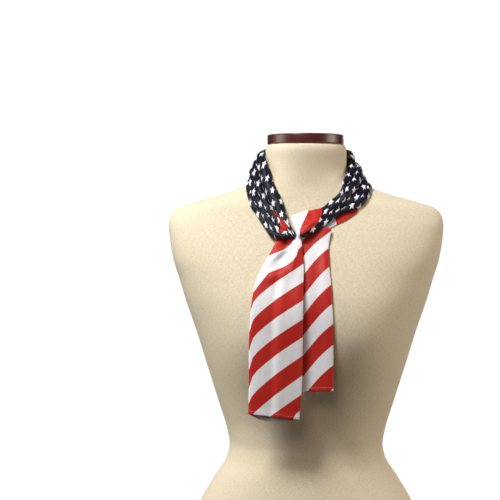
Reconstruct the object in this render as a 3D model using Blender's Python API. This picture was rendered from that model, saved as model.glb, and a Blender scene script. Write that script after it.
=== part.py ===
"""Flag scarf tied once round the neck of a limbless dress form.

Metres, +Z up, the front of the form faces -Y. The origin is the centre of the flat base.
The tables are in millimetres and degrees. A turn is the angle round the neck, seen from above:
0 at the knot in front, 90 at the left of the picture, 180 at the nape, 270 at the right.
"""

import math

import bmesh
import bpy
import numpy as np
from mathutils import Vector
from mathutils.bvhtree import BVHTree

MM = 0.001

# Dress form
CAP_THICKNESS = 0.0139
CAP_RADIUS = 0.0548
CAP_ROUNDING = 0.0018
CAP_SIDES = 48
CAP_GAP = 0.0003
FORM_SIDES = 44
FORM_RING_STEP = 0.028
BUST_SPREAD = 0.073
BUST_HEIGHT = 0.554
BUST_SWELL = 0.027
BUST_HALF_WIDTH = 0.076
BUST_RISE_ABOVE = 0.082
BUST_RISE_BELOW = 0.082
BUST_SIDE_BLEND = 0.5

FORM_COLUMNS = ("height", "half_width", "front_depth", "back_depth", "squareness")
FORM_SECTIONS = (
    (0.0, 166.5, 96.0, 107.0, 2.35),
    (5.0, 170.5, 99.5, 111.0, 2.35),
    (60.0, 176.5, 104.0, 119.0, 2.35),
    (113.0, 178.5, 107.5, 124.5, 2.3),
    (157.0, 178.0, 109.5, 125.5, 2.3),
    (201.0, 175.0, 110.0, 122.5, 2.25),
    (239.0, 171.5, 109.0, 117.0, 2.2),
    (278.0, 164.5, 106.5, 109.0, 2.2),
    (319.0, 149.5, 101.0, 98.0, 2.2),
    (353.0, 129.7, 92.5, 85.0, 2.2),
    (382.0, 112.0, 84.5, 75.0, 2.2),
    (399.0, 108.5, 82.0, 72.0, 2.2),
    (420.0, 112.0, 82.0, 73.0, 2.2),
    (460.0, 124.2, 86.0, 80.0, 2.25),
    (510.0, 140.0, 94.0, 92.0, 2.3),
    (560.0, 155.6, 101.0, 101.0, 2.35),
    (605.0, 171.2, 104.0, 107.0, 2.45),
    (635.0, 180.1, 101.0, 109.0, 2.55),
    (660.0, 188.0, 95.0, 109.0, 2.65),
    (688.0, 193.0, 84.0, 104.0, 2.7),
    (708.0, 194.8, 74.0, 97.0, 2.7),
    (721.0, 192.5, 67.0, 90.0, 2.6),
    (729.0, 188.0, 63.5, 86.0, 2.5),
    (735.5, 178.5, 61.0, 82.0, 2.4),
    (740.5, 163.0, 59.0, 79.0, 2.3),
    (745.5, 145.0, 57.5, 76.5, 2.2),
    (751.5, 122.0, 56.0, 73.5, 2.1),
    (757.5, 105.0, 54.5, 70.0, 2.05),
    (767.5, 78.0, 53.5, 65.0, 2.0),
    (776.0, 64.5, 53.5, 62.0, 2.0),
    (788.0, 59.0, 54.0, 59.5, 2.0),
    (803.0, 57.5, 55.5, 58.0, 2.0),
    (813.0, 57.5, 56.5, 57.0, 2.0),
    (819.4, 56.5, 55.5, 56.0, 2.0),
    (822.8, 54.0, 53.0, 53.5, 2.0),
)

# Cloth
TAIL_THICKNESS = 0.0010
LOOP_THICKNESS = 0.0020
UNDER_THICKNESS = 0.0012
SEAM_WIDTH = 0.0008
CLOTH_CLEARANCE = 0.0012
TAIL_CLEARANCE = 0.0014
REACH = 0.30
SETTLE_PASSES = 4
NORMAL_PASSES = 3

# The loop round the neck: from the pinch, round the nape, to the knot at the right, and the fan
# of the knot, where its right end crosses over its left end back to the pinch
LOOP_ROWS = 58
LEFT_END_ROWS = 20
FAN_ROWS = 17
LOOP_SPANS = 20
LOOP_PLEATS = 4
PLEATED_WIDTH = 0.042
PLEAT_ROUNDNESS = 0.8
LOOP_COLUMNS = ("top_turn", "top_height", "top_gap", "low_turn", "low_height", "low_gap", "swell")
LOOP_STATIONS = (
    (10.0, 697.0, 11.0, 11.0, 689.5, 11.0, 0.0),
    (14.0, 706.0, 9.0, 15.0, 689.0, 11.0, 1.0),
    (20.0, 720.0, 6.0, 22.0, 689.0, 10.0, 2.0),
    (27.0, 738.0, 4.0, 28.0, 690.5, 9.0, 3.0),
    (34.0, 752.0, 4.0, 34.0, 700.0, 7.0, 4.0),
    (42.0, 765.0, 4.0, 42.0, 714.0, 5.0, 5.0),
    (50.0, 777.0, 3.5, 50.0, 729.0, 4.0, 5.0),
    (60.0, 790.0, 3.0, 60.0, 749.0, 3.5, 3.5),
    (75.0, 804.0, 2.5, 75.0, 764.0, 2.5, 5.0),
    (92.0, 814.0, 2.0, 92.0, 770.0, 4.5, 4.5),
    (120.0, 819.0, 2.0, 120.0, 771.0, 3.5, 3.0),
    (180.0, 820.0, 2.0, 180.0, 772.0, 3.0, 2.0),
    (235.0, 819.0, 4.0, 235.0, 770.0, 3.0, 1.0),
    (256.0, 815.5, 6.5, 256.0, 767.5, 3.0, 0.5),
    (272.0, 803.0, 6.0, 272.0, 764.0, 2.5, 0.5),
    (288.0, 787.0, 4.0, 288.0, 758.5, 3.0, 4.0),
    (300.0, 779.0, 4.5, 300.0, 747.0, 3.0, 3.5),
    (311.0, 773.0, 6.0, 312.0, 731.5, 3.5, 4.0),
    (317.0, 764.0, 7.0, 320.0, 726.0, 4.5, 4.0),
    (322.0, 755.0, 7.0, 326.0, 723.0, 5.0, 3.0),
    (328.0, 748.0, 6.0, 332.0, 718.0, 6.0, 3.0),
    (336.0, 740.5, 6.0, 338.5, 712.0, 7.5, 3.0),
)
FAN_STATIONS = (
    (344.0, 733.0, 7.0, 346.0, 705.5, 9.5, 3.0),
    (352.0, 730.5, 8.0, 354.0, 698.0, 11.5, 3.0),
    (359.0, 729.0, 8.5, 360.0, 692.5, 13.5, 3.0),
    (366.0, 726.5, 9.0, 363.8, 691.0, 15.0, 2.5),
    (373.0, 723.5, 9.0, 366.0, 691.0, 16.0, 2.0),
    (378.0, 720.5, 9.0, 367.6, 692.0, 16.0, 1.0),
)

# Where the valleys between the pleats lie, as shares of the band's width from the neck outward,
# how deep each pleat is, and how far its crest leans: below 1 to the neck
PLEAT_COLUMNS = ("turn", "valley_1", "valley_2", "valley_3",
                 "depth_1", "depth_2", "depth_3", "depth_4", "lean")
PLEAT_STATIONS = (
    (10.0, 0.38, 0.62, 0.82, 2.0, 2.0, 1.5, 1.0, 1.0),
    (20.0, 0.38, 0.64, 0.84, 4.0, 3.4, 2.4, 1.6, 0.9),
    (34.0, 0.40, 0.66, 0.86, 5.0, 4.0, 2.8, 1.8, 0.85),
    (50.0, 0.38, 0.60, 0.82, 5.0, 3.0, 3.0, 1.8, 0.85),
    (75.0, 0.34, 0.56, 0.80, 4.4, 3.4, 2.6, 1.6, 0.9),
    (110.0, 0.28, 0.50, 0.76, 4.0, 3.6, 3.2, 2.2, 1.0),
    (150.0, 0.24, 0.46, 0.74, 3.4, 3.4, 4.2, 3.6, 1.0),
    (200.0, 0.26, 0.54, 0.76, 3.6, 4.2, 3.2, 3.6, 1.0),
    (245.0, 0.22, 0.52, 0.78, 3.2, 4.0, 2.8, 2.0, 1.0),
    (275.0, 0.26, 0.54, 0.80, 3.4, 4.4, 2.4, 1.6, 0.95),
    (300.0, 0.24, 0.54, 0.80, 2.8, 4.8, 2.6, 2.0, 0.9),
    (316.0, 0.22, 0.56, 0.80, 1.8, 4.4, 2.4, 2.4, 0.9),
    (330.0, 0.22, 0.54, 0.78, 1.2, 2.8, 1.6, 1.8, 1.0),
    (344.0, 0.25, 0.50, 0.75, 1.0, 1.4, 1.0, 1.0, 1.0),
    (378.0, 0.25, 0.50, 0.75, 0.3, 0.3, 0.3, 0.3, 1.0),
)

# The inner layer of the folded band, which shows below the right half of the loop
UNDER_ROWS = 20
UNDER_SPANS = 4
UNDER_STATIONS = (
    (309.0, 740.0, 1.4, 313.0, 726.0, 1.4, 0.0),
    (317.0, 731.0, 1.6, 320.0, 718.0, 1.6, 0.5),
    (324.0, 725.5, 1.8, 326.5, 712.5, 1.8, 0.5),
    (331.0, 720.0, 2.0, 333.5, 708.0, 2.0, 0.5),
    (337.0, 715.0, 2.2, 339.5, 703.5, 2.2, 0.5),
    (343.0, 711.0, 2.4, 346.0, 700.0, 2.4, 0.0),
)

# The two tails, folded double lengthwise: each row gives the two edges seen from the front
TAIL_COLUMNS = ("fold_x", "fold_height", "open_x", "open_height")
TAIL_FRONT_SPANS = 8
TAIL_FOLD_SPANS = 4
TAIL_BACK_SPANS = 6
TAIL_DEPTH_SPANS = 24
TAIL_ROLL_WIDTH = 0.008
TAIL_ROLL_SHARE = 0.3
TAIL_SEPARATION_AT_FOLD = 0.0050
TAIL_SEPARATION_AT_EDGE = 0.0022
TAIL_PRESSED_ROWS = 6
BACK_LAYER_DROP_POWER = 8
BACK_LAYER_SLANT = 0.22
GATHER_FADE_POWER = 1.5

FRONT_TAIL_ROWS = 27
FRONT_TAIL_GATHERS = 2.5
FRONT_TAIL_GATHER_DEPTH = 0.0022
FRONT_TAIL_BACK_DROP = 0.008
FRONT_TAIL_STATIONS = (
    (-37.0, 700.0, -12.0, 698.0),
    (-41.8, 689.6, -10.3, 690.3),
    (-49.5, 674.0, -8.5, 679.3),
    (-57.1, 660.0, -7.3, 665.7),
    (-66.0, 644.0, -6.4, 646.7),
    (-72.8, 626.0, -7.3, 624.0),
    (-76.9, 606.0, -7.8, 606.0),
    (-79.6, 576.0, -8.5, 576.0),
    (-81.0, 538.0, -8.9, 538.0),
    (-81.0, 498.0, -9.4, 498.0),
    (-81.8, 451.7, -13.2, 443.9),
)

BACK_TAIL_ROWS = 23
BACK_TAIL_GATHERS = 1.5
BACK_TAIL_GATHER_DEPTH = 0.0016
BACK_TAIL_BACK_DROP = 0.0
BACK_TAIL_STATIONS = (
    (31.0, 703.8, -21.0, 702.0),
    (31.5, 698.5, -23.0, 690.0),
    (27.5, 677.0, -26.0, 672.0),
    (28.2, 651.0, -30.0, 649.0),
    (30.4, 626.0, -33.5, 626.0),
    (31.5, 600.0, -36.0, 600.0),
    (32.8, 575.0, -37.0, 575.0),
    (33.0, 530.0, -37.0, 530.0),
    (32.8, 483.0, -37.0, 480.0),
)


def columns_of(names, rows):
    """The columns of a table by name, lengths in metres, turns and shares as they are."""
    plain = ("squareness", "top_turn", "low_turn", "turn", "valley_1", "valley_2", "valley_3",
             "lean")
    table = np.array(rows)
    return {name: table[:, i] * (1.0 if name in plain else MM) for i, name in enumerate(names)}


def slopes_of(places, values):
    """Slopes at the given places that keep a curve free of overshoot."""
    steps = np.diff(places)
    rises = np.diff(values) / steps
    slopes = np.zeros(len(places))
    slopes[0] = rises[0]
    slopes[-1] = rises[-1]
    for i in range(1, len(places) - 1):
        if rises[i - 1] * rises[i] > 0:
            before = 2 * steps[i] + steps[i - 1]
            after = steps[i] + 2 * steps[i - 1]
            slopes[i] = (before + after) / (before / rises[i - 1] + after / rises[i])
    return slopes


def smooth_curve(places, values, wanted):
    """Values of a smooth curve through the given ones, at the wanted places."""
    slopes = slopes_of(places, values)
    wanted = np.clip(np.asarray(wanted, dtype=float), places[0], places[-1])
    i = np.clip(np.searchsorted(places, wanted) - 1, 0, len(places) - 2)
    step = places[i + 1] - places[i]
    t = (wanted - places[i]) / step
    start = values[i] * (1 + 2 * t) * (1 - t) ** 2 + slopes[i] * step * t * (1 - t) ** 2
    end = values[i + 1] * t * t * (3 - 2 * t) + slopes[i + 1] * step * t * t * (t - 1)
    return start + end


def make_material(name, colour, roughness):
    material = bpy.data.materials.new(name)
    material.use_nodes = True
    shader = material.node_tree.nodes["Principled BSDF"]
    shader.inputs["Base Color"].default_value = (*colour, 1.0)
    shader.inputs["Roughness"].default_value = roughness
    shader.inputs["Metallic"].default_value = 0.0
    return material


def make_object(name, vertices, faces, material):
    mesh = bpy.data.meshes.new(name)
    mesh.from_pydata([tuple(v) for v in vertices], [], faces)
    body = bmesh.new()
    body.from_mesh(mesh)
    bmesh.ops.recalc_face_normals(body, faces=body.faces)
    bmesh.ops.triangulate(body, faces=body.faces)
    body.to_mesh(mesh)
    body.free()
    mesh.shade_smooth()
    mesh.set_sharp_from_angle(angle=math.radians(50))
    mesh.materials.append(material)
    made = bpy.data.objects.new(name, mesh)
    bpy.context.scene.collection.objects.link(made)
    return made


def surface_of(made):
    """A search tree of an object's faces, for laying cloth on it."""
    mesh = made.data
    vertices = [v.co.copy() for v in mesh.vertices]
    return BVHTree.FromPolygons(vertices, [tuple(p.vertices) for p in mesh.polygons])


# ---------------------------------------------------------------- dress form

def form_ring_heights(sections):
    heights = [sections["height"][0]]
    for low, high in zip(sections["height"][:-1], sections["height"][1:]):
        parts = max(1, math.ceil((high - low) / FORM_RING_STEP))
        heights += [low + (high - low) * (i + 1) / parts for i in range(parts)]
    return heights


def bust_swell(x, height):
    rise = BUST_RISE_ABOVE if height > BUST_HEIGHT else BUST_RISE_BELOW
    across = (abs(x) - BUST_SPREAD) / BUST_HALF_WIDTH
    return BUST_SWELL * math.exp(-across ** 2 - ((height - BUST_HEIGHT) / rise) ** 2)


def form_ring(sections, height):
    """One level section: a squared ellipse, deeper behind than in front, with the bust's swell."""
    size = {name: float(smooth_curve(sections["height"], values, height))
            for name, values in sections.items()}
    power = 2.0 / size["squareness"]
    ring = []
    for side in range(FORM_SIDES):
        angle = 2 * math.pi * side / FORM_SIDES
        wide = math.copysign(abs(math.cos(angle)) ** power, math.cos(angle))
        deep = math.copysign(abs(math.sin(angle)) ** power, math.sin(angle))
        x = size["half_width"] * wide
        y = deep * (size["back_depth"] if deep > 0 else size["front_depth"])
        if deep < 0:
            y -= bust_swell(x, height) * abs(deep) ** BUST_SIDE_BLEND
        ring.append((x, y, height))
    return ring


def stack_rings(rings):
    """Vertices and faces of a closed body through level rings of equal length."""
    count = len(rings[0])
    vertices = [point for ring in rings for point in ring]
    faces = [tuple(range(count - 1, -1, -1))]
    for level in range(len(rings) - 1):
        for side in range(count):
            near = level * count + side
            far = level * count + (side + 1) % count
            faces.append((near, far, far + count, near + count))
    faces.append(tuple(range((len(rings) - 1) * count, len(rings) * count)))
    return vertices, faces


def build_torso(material):
    sections = columns_of(FORM_COLUMNS, FORM_SECTIONS)
    rings = [form_ring(sections, height) for height in form_ring_heights(sections)]
    return make_object("form_torso", *stack_rings(rings), material)


def build_cap(material):
    """The wooden disc on the neck, its edges rounded."""
    bottom = FORM_SECTIONS[-1][0] * MM + CAP_GAP
    top = bottom + CAP_THICKNESS
    quarter = (0.0, 0.5, 1.0)
    outline = []
    for t in quarter:
        angle = t * math.pi / 2
        reach = CAP_RADIUS - CAP_ROUNDING * (1 - math.sin(angle))
        outline.append((reach, bottom + CAP_ROUNDING * (1 - math.cos(angle))))
    for t in quarter:
        angle = t * math.pi / 2
        reach = CAP_RADIUS - CAP_ROUNDING * (1 - math.cos(angle))
        outline.append((reach, top - CAP_ROUNDING * (1 - math.sin(angle))))
    rings = []
    for reach, height in outline:
        turns = [2 * math.pi * side / CAP_SIDES for side in range(CAP_SIDES)]
        rings.append([(reach * math.cos(a), reach * math.sin(a), height) for a in turns])
    return make_object("form_neck_cap", *stack_rings(rings), material)


# ---------------------------------------------------------------- cloth

def unit(vectors):
    return vectors / np.maximum(np.linalg.norm(vectors, axis=-1, keepdims=True), 1e-9)


def relax(grid, passes=1):
    """Soften a grid of points, leaving its rim as it is."""
    soft = grid.copy()
    for _ in range(passes):
        inner = soft[:-2, 1:-1] + soft[2:, 1:-1] + soft[1:-1, :-2] + soft[1:-1, 2:]
        soft[1:-1, 1:-1] = 0.5 * soft[1:-1, 1:-1] + 0.125 * inner
    return soft


def sheet_normals(points):
    """Directions square to a grid of points, softened so that a wall stays even."""
    along = np.gradient(points, axis=0)
    across = np.gradient(points, axis=1)
    normals = unit(np.cross(across, along))
    for _ in range(NORMAL_PASSES):
        wide = np.pad(normals, ((1, 1), (1, 1), (0, 0)), mode="edge")
        around = wide[:-2, 1:-1] + wide[2:, 1:-1] + wide[1:-1, :-2] + wide[1:-1, 2:]
        normals = unit(normals + 0.25 * around)
    return normals


def wall_shape(points, normals, thickness):
    """Vertices and faces of a closed wall on a grid of points, which is its middle surface."""
    rows, spans = points.shape[:2]
    sides = (points + normals * thickness / 2, points - normals * thickness / 2)
    vertices = np.concatenate([side.reshape(-1, 3) for side in sides])
    back = rows * spans
    faces = []
    for i in range(rows - 1):
        for j in range(spans - 1):
            a = i * spans + j
            quad = (a, a + 1, a + 1 + spans, a + spans)
            faces.append(quad)
            faces.append(tuple(back + k for k in reversed(quad)))
    rim = list(range(spans))
    rim += [i * spans + spans - 1 for i in range(1, rows)]
    rim += [(rows - 1) * spans + j for j in range(spans - 2, -1, -1)]
    rim += [i * spans for i in range(rows - 2, 0, -1)]
    for near, far in zip(rim, rim[1:] + rim[:1]):
        faces.append((far, near, back + near, back + far))
    return vertices, faces


def wall(name, points, normals, thickness, material):
    return make_object(name, *wall_shape(points, normals, thickness), material)


def lift(point, outward, supports, clearance):
    """Move a point outward until it is clear of every surface under it."""
    start = point + outward * REACH
    raised = 0.0
    for support in supports:
        hit = support.ray_cast(Vector(start), Vector(-outward), 2 * REACH)[0]
        if hit is not None:
            raised = max(raised, float(np.dot(np.array(hit) - point, outward)) + clearance)
    return point + outward * raised


def widest_nearby(field, row_reach, span_reach):
    """The largest value at each place of a grid and its neighbours within reach."""
    wide = np.pad(field, ((row_reach, row_reach), (span_reach, span_reach)), mode="edge")
    rows, spans = field.shape
    return np.max([wide[i:i + rows, j:j + spans] for i in range(2 * row_reach + 1)
                   for j in range(2 * span_reach + 1)], axis=0)


def settle(least, passes):
    """Ease a grid of distances so that none is less than the least."""
    eased = least
    for _ in range(passes):
        wide = np.pad(eased, 2, mode="edge")[:, :, None]
        eased = np.maximum(relax(wide, 2)[2:-2, 2:-2, 0], least)
    return eased


def lay_on(points, outward, supports, clearance):
    """Lay a grid of points on its supports, rising smoothly over their edges."""
    needed = np.zeros(points.shape[:2])
    for i in range(points.shape[0]):
        for j in range(points.shape[1]):
            lifted = lift(points[i, j], outward[i, j], supports, clearance)
            needed[i, j] = np.linalg.norm(lifted - points[i, j])
    raised = settle(widest_nearby(needed, 2, 2), SETTLE_PASSES)
    return points + outward * raised[:, :, None]


def round_neck(turn, height, gap, supports):
    """A point off the form by a gap, at a turn round the neck and a height."""
    outward = np.array((-math.sin(math.radians(turn)), -math.cos(math.radians(turn)), 0.0))
    return lift(np.array((0.0, 0.0, height)), outward, supports, gap)


def plain_row(turn, width, spans):
    """Evenly spaced shares across a band, and no pleats."""
    return np.linspace(0.0, 1.0, spans + 1), np.zeros(spans + 1)


def pleated_row(turn, width, spans):
    """Shares across a band with a line of points in each valley, and how far each stands out."""
    table = columns_of(PLEAT_COLUMNS, PLEAT_STATIONS)
    here = {name: float(smooth_curve(table["turn"], values, turn))
            for name, values in table.items()}
    valleys = (0.0, here["valley_1"], here["valley_2"], here["valley_3"], 1.0)
    each = spans // LOOP_PLEATS
    within = np.arange(each) / each
    waves = np.sin(math.pi * within ** here["lean"]) ** PLEAT_ROUNDNESS
    across = [low + (high - low) * within for low, high in zip(valleys[:-1], valleys[1:])]
    rise = [here[f"depth_{k + 1}"] * waves for k in range(LOOP_PLEATS)]
    scale = min(1.0, width / PLEATED_WIDTH) ** 2
    return np.concatenate(across + [[1.0]]), np.concatenate(rise + [[0.0]]) * scale


def band(stations, row_counts, spans, row_shape, form):
    """Middle surface of a band that lies round the neck, and its outward directions.

    row_counts names how many rows lie between one station and another: (station, rows) pairs.
    """
    table = columns_of(LOOP_COLUMNS, stations)
    top = np.array([round_neck(*row, [form]) for row in
                    zip(table["top_turn"], table["top_height"], table["top_gap"])])
    low = np.array([round_neck(*row, [form]) for row in
                    zip(table["low_turn"], table["low_height"], table["low_gap"])])
    middle = (top + low) / 2
    run = np.concatenate([[0.0], np.cumsum(np.linalg.norm(np.diff(middle, axis=0), axis=1))])
    places = [0.0]
    for station, rows in row_counts:
        places += list(np.linspace(places[-1], run[station], rows)[1:])
    settings = {name: smooth_curve(run, values, places) for name, values in table.items()}
    points = np.zeros((len(places), spans + 1, 3))
    outward = np.zeros((len(places), spans + 1, 3))
    for i in range(len(places)):
        here = {name: values[i] for name, values in settings.items()}
        start = round_neck(here["top_turn"], here["top_height"], here["top_gap"], [form])
        end = round_neck(here["low_turn"], here["low_height"], here["low_gap"], [form])
        across, waves = row_shape(here["top_turn"], np.linalg.norm(end - start), spans)
        turns = np.radians(here["top_turn"] + (here["low_turn"] - here["top_turn"]) * across)
        outward[i] = np.stack([-np.sin(turns), -np.cos(turns), np.zeros(spans + 1)], axis=1)
        square = unit(np.cross(end - start, np.cross(outward[i, spans // 2], end - start)))
        rise = 4 * here["swell"] * across * (1 - across) + waves
        points[i] = start + np.outer(across, end - start) + np.outer(rise, square)
    return points, outward


def tail(stations, rows, gathers, gather_depth, back_drop, supports):
    """Middle surface of a tail folded double: front layer, fold, then back layer."""
    table = columns_of(TAIL_COLUMNS, stations)
    fold = np.stack([table["fold_x"], table["fold_height"]], axis=1)
    edge = np.stack([table["open_x"], table["open_height"]], axis=1)
    run = np.concatenate([[0.0], np.cumsum(np.linalg.norm(np.diff(fold + edge, axis=0), axis=1))])
    places = np.linspace(0.0, run[-1], rows)
    fold = np.stack([smooth_curve(run, fold[:, k], places) for k in range(2)], axis=1)
    edge = np.stack([smooth_curve(run, edge[:, k], places) for k in range(2)], axis=1)
    depth = hanging_depth(edge, fold, supports)
    front = [(i / TAIL_FRONT_SPANS, 1.0) for i in range(TAIL_FRONT_SPANS)]
    bend = [math.pi * i / TAIL_FOLD_SPANS for i in range(TAIL_FOLD_SPANS + 1)]
    back = [(1 - (i + 1) / TAIL_BACK_SPANS, 0.0) for i in range(TAIL_BACK_SPANS)]
    spans = len(front) + len(bend) + len(back)
    points = np.zeros((rows, spans, 3))
    for i in range(rows):
        width = np.linalg.norm(fold[i] - edge[i])
        roll = min(TAIL_ROLL_WIDTH, TAIL_ROLL_SHARE * width) / width
        profile = [((1 - roll) * a, d) for a, d in front]
        profile += [(1 - roll + roll * math.sin(b), 0.5 + 0.5 * math.cos(b)) for b in bend]
        profile += [((1 - roll) * a, d) for a, d in back]
        drop = back_drop * (i / (rows - 1)) ** BACK_LAYER_DROP_POWER
        fade = (1 - i / (rows - 1)) ** GATHER_FADE_POWER
        pressed = min(1.0, i / TAIL_PRESSED_ROWS)
        for j, (a, d) in enumerate(profile):
            x, height = edge[i] + (fold[i] - edge[i]) * a
            apart = TAIL_SEPARATION_AT_EDGE
            apart += (TAIL_SEPARATION_AT_FOLD - TAIL_SEPARATION_AT_EDGE) * a * pressed
            wave = gather_depth * fade * (0.5 - 0.5 * math.cos(2 * math.pi * gathers * a))
            rest = np.interp(a, np.linspace(0.0, 1.0, depth.shape[1]), depth[i])
            lower = drop * a * min(1.0, (1 - a) / BACK_LAYER_SLANT) * (1 - d)
            points[i, j] = (x, rest - apart * d - wave, height - lower)
    return points


def hanging_depth(edge, fold, supports):
    """How far forward a tail lies, row by row from its open edge to its fold.

    Each line down the cloth lies on what is behind it, then falls plumb from the foremost place.
    """
    toward_viewer = np.array((0.0, -1.0, 0.0))
    clearance = TAIL_CLEARANCE + TAIL_THICKNESS / 2
    across = np.linspace(0.0, 1.0, TAIL_DEPTH_SPANS + 1)
    rest = np.zeros((len(edge), len(across)))
    for i in range(len(edge)):
        for j, a in enumerate(across):
            x, height = edge[i] + (fold[i] - edge[i]) * a
            rest[i, j] = lift(np.array((x, 0.0, height)), toward_viewer, supports, clearance)[1]
    forward = np.maximum.accumulate(widest_nearby(-rest, 0, 2), axis=0)
    return -settle(forward, SETTLE_PASSES)


def build_back_tail(material, supports):
    points = tail(BACK_TAIL_STATIONS, BACK_TAIL_ROWS, BACK_TAIL_GATHERS,
                  BACK_TAIL_GATHER_DEPTH, BACK_TAIL_BACK_DROP, supports)
    return wall("back_tail", points, sheet_normals(points), TAIL_THICKNESS, material)


def build_front_tail(material, supports):
    points = tail(FRONT_TAIL_STATIONS, FRONT_TAIL_ROWS, FRONT_TAIL_GATHERS,
                  FRONT_TAIL_GATHER_DEPTH, FRONT_TAIL_BACK_DROP, supports)
    return wall("front_tail", points, sheet_normals(points), TAIL_THICKNESS, material)


def build_under_layer(material, form):
    last = len(UNDER_STATIONS) - 1
    points, outward = band(UNDER_STATIONS, [(last, UNDER_ROWS)], UNDER_SPANS, plain_row, form)
    points = lay_on(points, outward, [form], CLOTH_CLEARANCE + UNDER_THICKNESS / 2)
    return wall("under_layer", points, sheet_normals(points), UNDER_THICKNESS, material)


def build_loop_and_fan(loop_material, fan_material, form, supports):
    """One run of cloth, parted by a seam gap where the fan begins."""
    seam = len(LOOP_STATIONS) - 1
    last = seam + len(FAN_STATIONS)
    points, outward = band(LOOP_STATIONS + FAN_STATIONS, [(seam, LOOP_ROWS), (last, FAN_ROWS)],
                           LOOP_SPANS, pleated_row, form)
    clearance = CLOTH_CLEARANCE + LOOP_THICKNESS / 2
    loop = lay_on(points[:LOOP_ROWS], outward[:LOOP_ROWS], supports, clearance)
    left = loop[:LEFT_END_ROWS]
    left_end = BVHTree.FromPolygons(*[list(map(tuple, part)) for part in
                                      wall_shape(left, sheet_normals(left), LOOP_THICKNESS)])
    fan = lay_on(points[LOOP_ROWS - 1:], outward[LOOP_ROWS - 1:], supports + [left_end], clearance)
    normals = sheet_normals(np.concatenate([loop, fan[1:]]))
    fan[0] = loop[-1] + unit(fan[1] - loop[-1]) * SEAM_WIDTH
    wall("neck_loop", loop, normals[:LOOP_ROWS], LOOP_THICKNESS, loop_material)
    wall("knot_fan", fan, normals[LOOP_ROWS - 1:], LOOP_THICKNESS, fan_material)


def main():
    for old in list(bpy.data.objects):
        bpy.data.objects.remove(old, do_unlink=True)
    jersey = make_material("cream_jersey", (0.76, 0.68, 0.50), 0.9)
    wood = make_material("mahogany", (0.12, 0.025, 0.018), 0.35)
    stars = make_material("navy_star_satin", (0.021, 0.019, 0.037), 0.45)
    stripes = make_material("red_white_satin", (0.60, 0.20, 0.18), 0.45)
    red = make_material("red_satin", (0.49, 0.03, 0.02), 0.45)
    torso = build_torso(jersey)
    build_cap(wood)
    form = surface_of(torso)
    under_layer = surface_of(build_under_layer(red, form))
    back_tail = surface_of(build_back_tail(stripes, [form, under_layer]))
    front_tail = surface_of(build_front_tail(stripes, [form, back_tail]))
    build_loop_and_fan(stars, red, form, [form, back_tail, front_tail, under_layer])


main()
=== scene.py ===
"""Looks of a flag scarf tied once round the neck of a limbless dress form.

Metres, +Z up, the front of the form faces -Y. Tables are in millimetres and degrees, or in the
photo's pixels where a column's name begins with picture. A turn is the angle round the neck, seen
from above: 0 at the knot in front, 90 at the left of the picture, 180 at the nape.
"""

import math
import re

import bmesh
import bpy
import numpy as np
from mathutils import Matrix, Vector
from mathutils.bvhtree import BVHTree


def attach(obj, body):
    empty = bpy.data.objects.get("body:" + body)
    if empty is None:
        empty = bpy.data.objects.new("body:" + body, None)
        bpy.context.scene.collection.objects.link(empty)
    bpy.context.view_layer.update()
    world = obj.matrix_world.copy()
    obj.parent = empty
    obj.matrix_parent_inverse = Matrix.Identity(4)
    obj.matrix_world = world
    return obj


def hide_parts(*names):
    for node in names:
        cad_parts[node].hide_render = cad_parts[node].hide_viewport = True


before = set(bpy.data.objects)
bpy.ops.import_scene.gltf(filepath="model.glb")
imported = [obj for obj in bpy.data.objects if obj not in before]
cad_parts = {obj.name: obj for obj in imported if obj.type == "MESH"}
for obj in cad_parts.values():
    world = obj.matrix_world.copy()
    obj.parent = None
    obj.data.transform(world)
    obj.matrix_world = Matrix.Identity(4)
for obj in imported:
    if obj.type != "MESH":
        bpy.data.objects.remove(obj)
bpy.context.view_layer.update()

MM = 0.001
LENGTH_NAME = re.compile("height|half_width|depth|gap|swell|^(fold|open)_x")

# Camera
CAMERA_PLACE = (-0.0796, -2.63, 0.6807)
CAMERA_LENS = 133.2
CAMERA_SENSOR = 36.0
CAMERA_SHIFT = -0.01
CAMERA_REACH = 50.0
PICTURE_SIZE = 500
PICTURE_FOCUS = CAMERA_LENS / CAMERA_SENSOR * PICTURE_SIZE
PICTURE_CENTRE = 250.0
PICTURE_HORIZON = 245.0

# Dress form
CAP_THICKNESS = 0.0139
CAP_RADIUS = 0.0548
CAP_ROUNDING = 0.0018
CAP_SIDES = 144
CAP_ARC_STEPS = 6
CAP_GAP = 0.0003
CAP_SHARP_ANGLE = math.radians(40)
FORM_SIDES = 176
FORM_RING_STEP = 0.005
FORM_GIRTH_RADIUS = 0.15
BUST_SPREAD = 0.073
BUST_HEIGHT = 0.554
BUST_SWELL = 0.027
BUST_HALF_WIDTH = 0.076
BUST_RISE_ABOVE = 0.082
BUST_RISE_BELOW = 0.082
BUST_SIDE_BLEND = 0.5

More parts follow.
